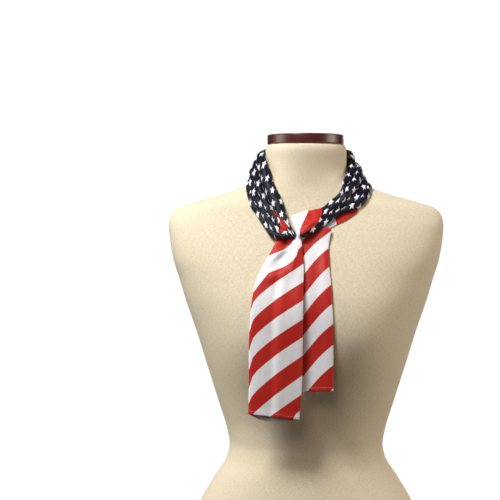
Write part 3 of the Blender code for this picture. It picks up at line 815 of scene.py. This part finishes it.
def pleat_rise(turns, widths, spans):
    """How far the pleats stand out, and the depth of pleat passed from the edge, per point."""
    table = columns_of(PLEAT_COLUMNS, PLEAT_STATIONS)
    across = np.linspace(0.0, 1.0, spans)
    rise = np.zeros((len(turns), spans))
    hidden = np.zeros((len(turns), spans))
    for i, turn in enumerate(turns):
        here = {name: float(smooth_curve(table["turn"], values, turn))
                for name, values in table.items()}
        valleys = (0.0, here["valley_1"], here["valley_2"], here["valley_3"], 1.0)
        scale = min(1.0, widths[i] / PLEATED_WIDTH) ** PLEAT_NARROWING
        for k in range(4):
            t = np.clip((across - valleys[k]) / (valleys[k + 1] - valleys[k]), 0.0, 1.0)
            inside = (across >= valleys[k]) & (across <= valleys[k + 1])
            depth = here[f"depth_{k + 1}"] * scale
            depth *= 1 + sum(share * math.sin(turn * pace + shift * k)
                             for share, pace, shift in PLEAT_VARIATION)
            wave = np.abs(np.sin(math.pi * t ** here["lean"])) ** PLEAT_ROUNDNESS
            rise[i] = np.where(inside, depth * wave, rise[i])
            if k > 0:
                folded = here[f"depth_{k}"] + here[f"depth_{k + 1}"]
                hidden[i] += folded * (1 + np.tanh((across - valleys[k]) / VALLEY_WIDTH))
    return rise, hidden


def curled(points, normals, radius):
    """The grid with its two long edges curled back towards the form, like folds of cloth."""
    sides = []
    for edge, inner in ((0, 2), (-1, -3)):
        ahead = unit(points[:, edge] - points[:, inner])
        normal = normals[:, edge]
        flat = unit(ahead - normal * np.sum(ahead * normal, axis=1, keepdims=True))
        start = np.arctan2(-np.sum(ahead * normal, axis=1), np.sum(ahead * flat, axis=1))
        place = points[:, edge].copy()
        run = []
        for step in range(CURL_STEPS):
            turn = start + (CURL_END - start) * (step + 0.5) / CURL_STEPS
            length = (radius * (CURL_END - start) / CURL_STEPS)[:, None]
            place = place + length * (flat * np.cos(turn)[:, None] - normal * np.sin(turn)[:, None])
            run.append(place.copy())
        sides.append(run)
    top = np.stack(sides[0][::-1], axis=1)
    low = np.stack(sides[1], axis=1)
    return np.concatenate([top, points, low], axis=1)


def squared_print(along, turns):
    """How far along the print each point lies, its rows square to the band at both ends of the
    loop and eased from one to the other round the nape."""
    skews = []
    for turn in PRINT_SQUARE_AT:
        row = along[int(np.argmin(np.abs(turns - turn)))]
        skews.append(row - row.mean())
    share = np.clip((turns - PRINT_EASE[0]) / (PRINT_EASE[1] - PRINT_EASE[0]), 0.0, 1.0)
    share = (share * share * (3 - 2 * share))[:, None]
    return along - skews[0] * (1 - share) - skews[1] * share


def loop_creases(points, turns):
    """The loop's soft creases: those of the picture in front, and the nape's own behind."""
    front = crease_rise(in_picture(points), picture_pixel(points),
                        columns_of(CREASE_COLUMNS, LOOP_CREASES))
    table = columns_of(NAPE_CREASE_COLUMNS, NAPE_CREASES)
    for end in ("0", "1"):
        table["turn_" + end] = np.radians(table["turn_" + end]) * NAPE_RADIUS
        table["share_" + end] = table["share_" + end] * NAPE_WIDTH
    shares = np.linspace(0.0, NAPE_WIDTH, points.shape[1])
    places = np.meshgrid(np.radians(turns) * NAPE_RADIUS, shares, indexing="ij")
    behind = (turns > NAPE_TURNS[0]) & (turns < NAPE_TURNS[1])
    return np.where(behind[:, None], crease_rise(places, 1.0, table), front)


def dressed_band(base, turns, form):
    """A plain band made into pleated cloth with curled edges, and its print's fields."""
    fine = finer_grid(base, LOOP_FINER_ROWS, LOOP_FINER_SPANS)
    fine_turns = spline_through(turns[:, None], LOOP_FINER_ROWS)[:, 0]
    widths = np.linalg.norm(fine[:, -1] - fine[:, 0], axis=1)
    gap = np.array([min(form.find_nearest(Vector(row[0]))[3], form.find_nearest(Vector(row[-1]))[3])
                    for row in fine])
    radius = np.clip(np.minimum((gap - CURL_ROOM) / 2, CURL_SHARE * widths),
                     CURL_LEAST_RADIUS, CURL_RADIUS)
    fine = narrowed(fine, radius / widths)
    normals = LOOP_FACING * sheet_normals(fine)
    rise, hidden = pleat_rise(fine_turns, widths, fine.shape[1])
    angle = np.radians(fine_turns)[:, None]
    share = np.linspace(0.0, 1.0, fine.shape[1])[None, :]
    ripple = sum(np.sin(angle * waves + slant * share) for waves, slant in RIPPLE_WAVES)
    rise += RIPPLE_HEIGHT * (1 + ripple / len(RIPPLE_WAVES))
    rise += loop_creases(fine, fine_turns)
    pleated = fine + normals * rise[:, :, None]
    pleated = curled(pleated, normals, radius)
    across = arc_lengths(pleated, 1)
    across -= across[:, [across.shape[1] // 2]]
    cover = np.pad(hidden, ((0, 0), (CURL_STEPS, CURL_STEPS)), mode="edge")
    across += cover * PLEAT_HIDDEN_CLOTH / PLEAT_FULL_DEPTH
    along = squared_print(arc_lengths(pleated, 0), fine_turns)
    turned = np.tile(fine_turns[:, None], (1, pleated.shape[1]))
    return pleated, {"across": across, "along": along, "turn": turned}


def inside_patch(rows, px, py):
    """How far inside a patch of the picture points lie, in pixels, and less than 0 outside."""
    table = columns_of(PATCH_COLUMNS, rows)
    height = np.minimum(py - table["picture_row"][0], table["picture_row"][-1] - py)
    left = np.interp(py, table["picture_row"], table["picture_left"])
    right = np.interp(py, table["picture_row"], table["picture_right"])
    return np.minimum(np.minimum(px - left, right - px), height)


def left_of_line(rows, px, py):
    """How far left of a line of the picture points lie, in pixels."""
    table = columns_of(LINE_COLUMNS, rows)
    return smooth_curve(table["picture_row"], table["picture_column"], py) - px


def build_loop(material, form, supports):
    seam = len(LOOP_STATIONS) - 1
    last = seam + len(FAN_STATIONS)
    points, outward, turns = band(LOOP_STATIONS + FAN_STATIONS,
                                  [(seam, LOOP_ROWS), (last, FAN_ROWS)], LOOP_SPANS, form)
    clearance = CLOTH_CLEARANCE + LOOP_THICKNESS / 2
    loop = lay_on(points[:LOOP_ROWS], outward[:LOOP_ROWS], supports, clearance)
    left_end = dressed_band(loop[:LEFT_END_ROWS], turns[:LEFT_END_ROWS], form)[0]
    covered = tree_of(*wall_shape(left_end, sheet_normals(left_end), SHELL))
    fan = lay_on(points[LOOP_ROWS - 1:], outward[LOOP_ROWS - 1:], supports + [covered], clearance)
    grid, fields = dressed_band(np.concatenate([loop, fan[1:]]), turns, form)
    px, py = in_picture(grid)
    turn = fields.pop("turn")
    for name, line, patches in (("red", FAN_NAVY_LINE, [RED_WEDGE]),
                                ("white", FAN_WHITE_LINE, [WHITE_WEDGE_TOP, WHITE_WEDGE_LOW])):
        patch = np.max([inside_patch(rows, px, py) for rows in patches], axis=0)
        fields[name] = np.where(turn > FAN_START_TURN, left_of_line(line, px, py),
                                np.where(turn < LEFT_END_TURN, patch, FAR_OUTSIDE))
    return shell("scarf_neck_band", grid, LOOP_FACING, material, fields)


def build_under(material, form):
    last = len(UNDER_STATIONS) - 1
    points, outward, _ = band(UNDER_STATIONS, [(last, UNDER_ROWS)], UNDER_SPANS, form)
    points = lay_on(points, outward, [form], CLOTH_CLEARANCE + UNDER_THICKNESS / 2)
    grid = finer_grid(points, UNDER_FINER, UNDER_FINER)
    px, py = in_picture(grid)
    fields = {"red": np.full(px.shape, -FAR_OUTSIDE),
              "white": left_of_line(UNDER_WHITE_LINE, px, py)}
    return shell("scarf_inner_layer", grid, LOOP_FACING, material, print_fields(grid) | fields)


# ---------------------------------------------------------------- tails

def hanging_depth(edge, fold, supports):
    """How far forward a tail lies, row by row from its open edge to its fold."""
    toward_viewer = np.array((0.0, -1.0, 0.0))
    clearance = TAIL_CLEARANCE + TAIL_THICKNESS / 2
    across = np.linspace(0.0, 1.0, TAIL_DEPTH_SPANS + 1)
    rest = np.zeros((len(edge), len(across)))
    for i in range(len(edge)):
        for j, a in enumerate(across):
            x, height = edge[i] + (fold[i] - edge[i]) * a
            rest[i, j] = lift(np.array((x, 0.0, height)), toward_viewer, supports, clearance)[1]
    forward = np.maximum.accumulate(widest_nearby(-rest, 0, 2), axis=0)
    return -settle(forward, SETTLE_PASSES)


def folded_tail(kind, supports):
    """Middle surface of a tail folded double: front layer, fold, then back layer."""
    rows = kind["rows"]
    ends = np.array(list(columns_of(TAIL_COLUMNS, kind["stations"]).values()))
    run = run_of((ends[:2] + ends[2:]).T)
    places = np.linspace(0.0, run[-1], rows)
    ends = np.array([smooth_curve(run, values, places) for values in ends])
    fold, edge = ends[:2].T, ends[2:].T
    depth = hanging_depth(edge, fold, supports)
    front = [(i / TAIL_FRONT_SPANS, 1.0) for i in range(TAIL_FRONT_SPANS)]
    bend = [math.pi * i / TAIL_FOLD_SPANS for i in range(TAIL_FOLD_SPANS + 1)]
    back = [(1 - (i + 1) / TAIL_BACK_SPANS, 0.0) for i in range(TAIL_BACK_SPANS)]
    spans = len(front) + len(bend) + len(back)
    points = np.zeros((rows, spans, 3))
    for i in range(rows):
        width = np.linalg.norm(fold[i] - edge[i])
        roll = min(TAIL_ROLL_WIDTH, TAIL_ROLL_SHARE * width) / width
        profile = [((1 - roll) * a, d) for a, d in front]
        profile += [(1 - roll + roll * math.sin(b), 0.5 + 0.5 * math.cos(b)) for b in bend]
        profile += [((1 - roll) * a, d) for a, d in back]
        drop = kind["back_drop"] * (i / (rows - 1)) ** BACK_LAYER_DROP_POWER
        pressed = min(1.0, i / TAIL_PRESSED_ROWS)
        for j, (a, d) in enumerate(profile):
            x, height = edge[i] + (fold[i] - edge[i]) * a
            apart = TAIL_SEPARATION_AT_EDGE
            apart += (TAIL_SEPARATION_AT_FOLD - TAIL_SEPARATION_AT_EDGE) * a * pressed
            rest = np.interp(a, np.linspace(0.0, 1.0, depth.shape[1]), depth[i])
            lower = drop * a * min(1.0, (1 - a) / BACK_LAYER_SLANT) * (1 - d)
            points[i, j] = (x, rest - apart * d, height - lower)
    return points


def creased(points, kind, last_span):
    """Raise the front layer's soft ridges, which run between places of the picture."""
    rise = crease_rise(in_picture(points), picture_pixel(points),
                       columns_of(CREASE_COLUMNS, kind["creases"]))
    rise[:, last_span:] = 0.0
    return points + kind["facing"] * sheet_normals(points) * rise[:, :, None]


def stripe_field(points, kind, last_span):
    """The number of stripe edges passed on the way down the print, at each point of a tail."""
    px, py = in_picture(points)
    open_edge = kind["facing"] > 0
    inward = np.abs(px - px[:, [0 if open_edge else last_span]])
    if open_edge:
        beyond = arc_lengths(points, 1) / picture_pixel(points)
        inward[:, last_span:] = (inward[:, [last_span]]
                                 + beyond[:, last_span:] - beyond[:, [last_span]])
    drops = [np.interp(inward, *columns_of(BEND_COLUMNS, bend).values()) for bend in kind["bends"]]
    stripes = columns_of(STRIPE_COLUMNS, kind["stripes"])
    rows = np.array([row + steepness * (share * drops[0] + (1 - share) * drops[-1])
                     for row, share, steepness in zip(*stripes.values())])
    passed = np.arange(len(rows))
    return FIRST_STRIPE + np.array([[np.interp(py[i, j], rows[:, i, j], passed)
                                     for j in range(px.shape[1])] for i in range(px.shape[0])])


def hem_thickness(points):
    """A grid of wall thicknesses, doubled along the hem at the lower end."""
    left = arc_lengths(points[::-1], 0)[::-1]
    inside = np.clip((HEM_WIDTH - left) / HEM_EDGE, 0.0, 1.0)
    return (SHELL + (HEM_THICKNESS - SHELL) * inside)[:, :, None]


def build_tail(name, kind, material, supports):
    """A tail, and its front layer's points."""
    middle = (TAIL_FRONT_SPANS + TAIL_FOLD_SPANS // 2) * TAIL_FINER_SPANS
    grid = finer_grid(folded_tail(kind, supports), TAIL_FINER_ROWS, TAIL_FINER_SPANS)
    grid = creased(grid, kind, middle)
    fields = print_fields(grid) | {"stripe": stripe_field(grid, kind, middle)}
    made = shell(name, grid, kind["facing"], material, fields, hem_thickness(grid))
    return made, grid[:, :middle]


def build_stitches(name, front, kind, material):
    """A row of short thread stitches along the hem of a tail's front layer."""
    left = arc_lengths(front[::-1], 0)[::-1]
    normals = kind["facing"] * sheet_normals(front)
    line = []
    for j in range(front.shape[1]):
        i = int(np.argmin(np.abs(left[:, j] - STITCH_LINE)))
        line.append(front[i, j] + normals[i, j] * HEM_THICKNESS / 2)
    line = np.array(line)
    run = run_of(line)
    outward = np.array((0.0, -1.0, 0.0))
    turns = [2 * math.pi * side / STITCH_SIDES for side in range(STITCH_SIDES)]
    vertices, faces = [], []
    place = STITCH_STEP
    while place < run[-1] - STITCH_STEP:
        start, end = (np.array([np.interp(place + side * STITCH_LENGTH / 2, run, line[:, k])
                                for k in range(3)]) for side in (-1, 1))
        upward = unit(np.cross(outward, unit(end - start)))
        rings = [[start + (end - start) * t
                  + (upward * math.cos(turn) + outward * math.sin(turn)) * size * STITCH_RADIUS
                  for turn in turns] for t, size in STITCH_PROFILE]
        points, sides = stack_rings(rings)
        faces += [tuple(len(vertices) + k for k in face) for face in sides]
        vertices += points
        place += STITCH_STEP
    return make_object(name, vertices, faces, material)


# ---------------------------------------------------------------- materials

def linear(colour):
    """A colour as shown, out of 255, as the light that it stands for."""
    shares = [value / 255 for value in colour]
    return [v / 12.92 if v <= 0.04045 else ((v + 0.055) / 1.055) ** 2.4 for v in shares] + [1.0]


class Shading:
    """A material's node tree, with short calls for the nodes used here."""

    def __init__(self, name, roughness):
        self.material = bpy.data.materials.new(name)
        self.material.use_nodes = True
        self.tree = self.material.node_tree
        self.shader = self.tree.nodes["Principled BSDF"]
        self.shader.inputs["Roughness"].default_value = roughness

    def feed(self, socket, value):
        if isinstance(value, bpy.types.NodeSocket):
            self.tree.links.new(value, socket)
        else:
            socket.default_value = value

    def feed_named(self, node, inputs):
        for name, value in inputs.items():
            self.feed(node.inputs[name.replace("_", " ")], value)

    def node(self, kind, settings=None, *values, **inputs):
        made = self.tree.nodes.new(kind)
        for name, value in (settings or {}).items():
            setattr(made, name, value)
        for socket, value in zip(made.inputs, values):
            self.feed(socket, value)
        self.feed_named(made, inputs)
        return made

    def math(self, operation, *values):
        return self.node("ShaderNodeMath", {"operation": operation}, *values).outputs[0]

    def times(self, value, factor):
        return self.math("MULTIPLY", value, factor)

    def field(self, name):
        return self.node("ShaderNodeAttribute", {"attribute_name": name}).outputs["Fac"]

    def place(self, across, along, depth=0.0):
        return self.node("ShaderNodeCombineXYZ", None, across, along, depth).outputs[0]

    def own_place(self, stretch=(1.0, 1.0, 1.0)):
        """The place on the object itself, stretched along its axes."""
        place = self.node("ShaderNodeTexCoord").outputs["Object"]
        return self.node("ShaderNodeMapping", Vector=place, Scale=stretch).outputs[0]

    def noise(self, place, scale, detail=2.0, roughness=0.5):
        return self.node("ShaderNodeTexNoise", Vector=place, Scale=scale, Detail=detail,
                         Roughness=roughness).outputs["Fac"]

    def step(self, value, softness):
        """0 below 0 and 1 above it, with a soft change between."""
        return self.node("ShaderNodeMapRange", {"interpolation_type": "SMOOTHSTEP"}, Value=value,
                         From_Min=-softness, From_Max=softness).outputs[0]

    def ranged(self, value, span, result=(0.0, 1.0)):
        """A value's place in a span, carried over to the result's span."""
        return self.node("ShaderNodeMapRange", Value=value, From_Min=span[0], From_Max=span[1],
                         To_Min=result[0], To_Max=result[1]).outputs[0]

    def mix(self, share, below, above, blend="MIX"):
        made = self.node("ShaderNodeMix", {"data_type": "RGBA", "blend_type": blend})
        for socket, value in zip((0, 6, 7), (share, below, above)):
            self.feed(made.inputs[socket], value)
        return made.outputs[2]

    def shaded(self, colour, shade):
        """A colour darkened by a number, where 1 leaves it as it is."""
        return self.mix(1.0, colour, self.place(shade, shade, shade), "MULTIPLY")

    def bump(self, height, distance, strength=1.0, **under):
        return self.node("ShaderNodeBump", Height=height, Distance=distance, Strength=strength,
                         **under).outputs[0]

    def finish(self, colour, normal, **inputs):
        self.feed_named(self.shader, {"Base_Color": colour, "Normal": normal, **inputs})
        return self.material


def star_shape(paint, across, along):
    """How far outside a five-pointed star's edge a place is, from the star's own centre."""
    reach = paint.math("SQRT", paint.math("ADD", paint.times(across, across),
                                          paint.times(along, along)))
    turn = paint.math("ADD", paint.math("ARCTAN2", along, across), STAR_TILT)
    fifth = paint.math("FRACT", paint.math("ADD", paint.times(turn, 5 / (2 * math.pi)), 0.5))
    turn = paint.times(paint.math("ABSOLUTE", paint.math("SUBTRACT", fifth, 0.5)), 2 * math.pi / 5)
    tip = np.array((STAR_RADIUS, 0.0))
    waist = STAR_RADIUS * STAR_WAIST * np.array((math.cos(math.pi / 5), math.sin(math.pi / 5)))
    side = waist - tip
    square = np.array((side[1], -side[0])) / np.linalg.norm(side)
    x = paint.math("SUBTRACT", paint.times(reach, paint.math("COSINE", turn)), tip[0])
    y = paint.times(reach, paint.math("SINE", turn))
    return paint.math("ADD", paint.times(x, float(square[0])), paint.times(y, float(square[1])))


def star_print(paint, across, along):
    """1 on the stars of a staggered print and 0 between them."""
    found = []
    for shift in (0.0, 0.5):
        local = []
        for place, cell in ((across, STAR_CELL_ACROSS), (along, STAR_CELL_ALONG)):
            share = paint.math("FRACT", paint.math("ADD", paint.math("DIVIDE", place, cell), shift))
            local.append(paint.times(paint.math("SUBTRACT", share, 0.5), cell))
        found.append(star_shape(paint, *local))
    return paint.step(paint.times(paint.math("MINIMUM", *found), -1.0), STAR_SOFTNESS)


def stripes_pattern(paint, across, along):
    wave = paint.math("SINE", paint.times(paint.field("stripe"), math.pi))
    return paint.mix(paint.step(wave, STRIPE_SOFTNESS), linear(RED), linear(WHITE))


def stars_pattern(paint, across, along):
    colour = paint.mix(star_print(paint, across, along), linear(NAVY), linear(WHITE))
    for field, above in (("red", RED), ("white", WHITE)):
        colour = paint.mix(paint.step(paint.field(field), EDGE_SOFTNESS), colour, linear(above))
    return colour


def satin(name, pattern):
    """Polyester satin: a print, paler on the wrong side, with faint crinkles whose shade is painted
    into the colour, and a fine weave.
    """
    paint = Shading(name, SATIN_ROUGHNESS)
    across, along = paint.field("across"), paint.field("along")
    crinkle = paint.noise(paint.place(paint.times(across, CRINKLE_STRETCH), along), CRINKLE_SCALE,
                          detail=3.0)
    weave = paint.noise(paint.place(paint.times(across, WEAVE_STRETCH), along), THREAD_SCALE)
    wrong_side = paint.times(paint.field("wrong_side"), WRONG_SIDE_FADE)
    colour = paint.mix(wrong_side, pattern(paint, across, along), linear(WRONG_SIDE))
    # Painted shade: the colour is dimmed in the crinkles' hollows, where their bump sinks; the
    # weave's tone dims it slightly too
    colour = paint.shaded(colour, paint.times(paint.ranged(crinkle, NOISE_SPAN, CRINKLE_PAINTED_SHADE),
                                              paint.ranged(weave, NOISE_SPAN, WEAVE_SHADE)))
    normal = paint.bump(crinkle, CRINKLE_DEPTH, strength=0.6)
    normal = paint.bump(weave, WEAVE_DEPTH, strength=0.5, Normal=normal)
    return paint.finish(colour, normal, Specular_IOR_Level=SATIN_SPECULAR)


def jersey():
    """A cotton cover stretched smooth: fine threads both ways, matt."""
    paint = Shading("jersey_cover", JERSEY_ROUGHNESS)
    across, along = paint.field("across"), paint.field("along")
    level = paint.noise(paint.place(paint.times(across, LEVEL_STRETCH), along), THREAD_SCALE,
                        roughness=0.6)
    upright = paint.noise(paint.place(across, paint.times(along, UPRIGHT_STRETCH)), THREAD_SCALE,
                          roughness=0.6)
    cloud = paint.noise(paint.place(across, along), CLOUD_SCALE)
    threads = paint.math("ADD", paint.times(level, LEVEL_SHARE),
                         paint.times(upright, 1 - LEVEL_SHARE))
    colour = paint.mix(paint.ranged(threads, THREAD_SPAN), linear(JERSEY_DEEP), linear(JERSEY))
    colour = paint.shaded(colour, paint.ranged(cloud, NOISE_SPAN, CLOUD_SHADE))
    return paint.finish(colour, paint.bump(threads, JERSEY_DEPTH, strength=0.7), Sheen_Weight=0.12,
                        Sheen_Roughness=0.6, Specular_IOR_Level=0.15)


def mahogany():
    """Dark stained wood under a satin lacquer, its grain running from side to side."""
    paint = Shading("mahogany_lacquered", WOOD_ROUGHNESS)
    grain = paint.noise(paint.own_place(GRAIN_SCALES), 1.0, detail=5.0, roughness=0.65)
    pores = paint.noise(paint.own_place(PORE_SCALES), 1.0)
    colour = paint.mix(paint.ranged(grain, GRAIN_SPAN), linear(WOOD_DEEP), linear(WOOD))
    colour = paint.shaded(colour, paint.ranged(pores, PORE_SPAN, PORE_SHADE))
    return paint.finish(colour, paint.bump(pores, PORE_DEPTH, strength=0.4), Coat_Weight=0.18,
                        Coat_Roughness=0.3)


def thread():
    paint = Shading("hem_thread", THREAD_ROUGHNESS)
    twist = paint.noise(paint.own_place(), TWIST_SCALE, detail=1.0)
    colour = paint.mix(paint.ranged(twist, NOISE_SPAN, TWIST_SHARE), linear(THREAD), linear(RED))
    return paint.finish(colour, paint.bump(twist, TWIST_DEPTH, strength=0.5))


def studio_floor():
    paint = Shading("studio_floor", FLOOR_ROUGHNESS)
    grit = paint.noise(paint.own_place(), GRIT_SCALE)
    return paint.finish(linear(FLOOR), paint.bump(grit, GRIT_DEPTH, strength=0.2))


# ---------------------------------------------------------------- studio

def build_camera():
    data = bpy.data.cameras.new("photo_camera")
    data.lens = CAMERA_LENS
    data.sensor_width = CAMERA_SENSOR
    data.shift_y = CAMERA_SHIFT
    data.clip_end = CAMERA_REACH
    camera = link(bpy.data.objects.new("photo_camera", data))
    camera.location = CAMERA_PLACE
    camera.rotation_euler = (math.pi / 2, 0.0, 0.0)
    bpy.context.scene.camera = camera


def build_light(name, place, aimed_height, size, colour, power):
    data = bpy.data.lights.new(name, "AREA")
    data.shape = "RECTANGLE"
    data.size = data.size_y = size
    data.color = colour
    data.energy = power
    light = link(bpy.data.objects.new(name, data))
    light.location = place
    aim = Vector((0.0, 0.0, aimed_height)) - Vector(place)
    light.rotation_euler = aim.to_track_quat("-Z", "Y").to_euler()


def build_studio():
    body = bmesh.new()
    bmesh.ops.create_circle(body, cap_ends=True, segments=FLOOR_SIDES, radius=FLOOR_RADIUS)
    mesh = bpy.data.meshes.new("studio_floor")
    body.to_mesh(mesh)
    body.free()
    mesh.materials.append(studio_floor())
    floor = link(bpy.data.objects.new("studio_floor", mesh))
    floor.location = (0.0, 0.0, -FLOOR_DROP)
    floor.visible_diffuse = False
    for light in LIGHTS:
        build_light(**dict(zip(LIGHT_COLUMNS, light)))
    world = bpy.data.worlds.new("studio")
    bpy.context.scene.world = world
    world.use_nodes = True
    tree = world.node_tree
    backdrop = tree.nodes["Background"]
    fill = tree.nodes.new("ShaderNodeBackground")
    for node, colour, strength in ((backdrop, (1.0, 1.0, 1.0), BACKDROP_STRENGTH),
                                   (fill, FILL_COLOUR, FILL_STRENGTH)):
        node.inputs["Color"].default_value = (*colour, 1.0)
        node.inputs["Strength"].default_value = strength
    seen = tree.nodes.new("ShaderNodeLightPath")
    both = tree.nodes.new("ShaderNodeMixShader")
    tree.links.new(seen.outputs["Is Camera Ray"], both.inputs[0])
    tree.links.new(fill.outputs[0], both.inputs[1])
    tree.links.new(backdrop.outputs[0], both.inputs[2])
    tree.links.new(both.outputs[0], tree.nodes["World Output"].inputs["Surface"])
    bpy.context.scene.view_settings.view_transform = "Standard"


def main():
    form, cap = build_form(jersey()), build_cap(mahogany())
    stars = satin("star_satin", stars_pattern)
    stripes = satin("stripe_satin", stripes_pattern)
    seams = thread()
    on_form = surface_of(form)
    under = build_under(stars, on_form)
    on_under = surface_of(under)
    back, back_layer = build_tail("scarf_back_tail", BACK_TAIL, stripes, [on_form, on_under])
    on_back = surface_of(back)
    front, front_layer = build_tail("scarf_front_tail", FRONT_TAIL, stripes, [on_form, on_back])
    loop = build_loop(stars, on_form, [on_form, on_back, surface_of(front), on_under])
    back_stitches = build_stitches("back_hem_stitches", back_layer, BACK_TAIL, seams)
    front_stitches = build_stitches("front_hem_stitches", front_layer, FRONT_TAIL, seams)
    for piece, slot, nodes in ((form, "form_jersey", ["form_torso"]),
                               (cap, "cap_wood", ["form_neck_cap"]),
                               (back, "stripe_satin", ["back_tail"]),
                               (front, "stripe_satin", ["front_tail"]),
                               (under, "stripe_satin", ["under_layer"]),
                               (loop, "star_satin", ["neck_loop", "knot_fan"]),
                               (back_stitches, "stripe_satin", []),
                               (front_stitches, "stripe_satin", [])):
        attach(piece, "root")
        if nodes:
            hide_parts(*nodes)
    build_camera()
    build_studio()


main()
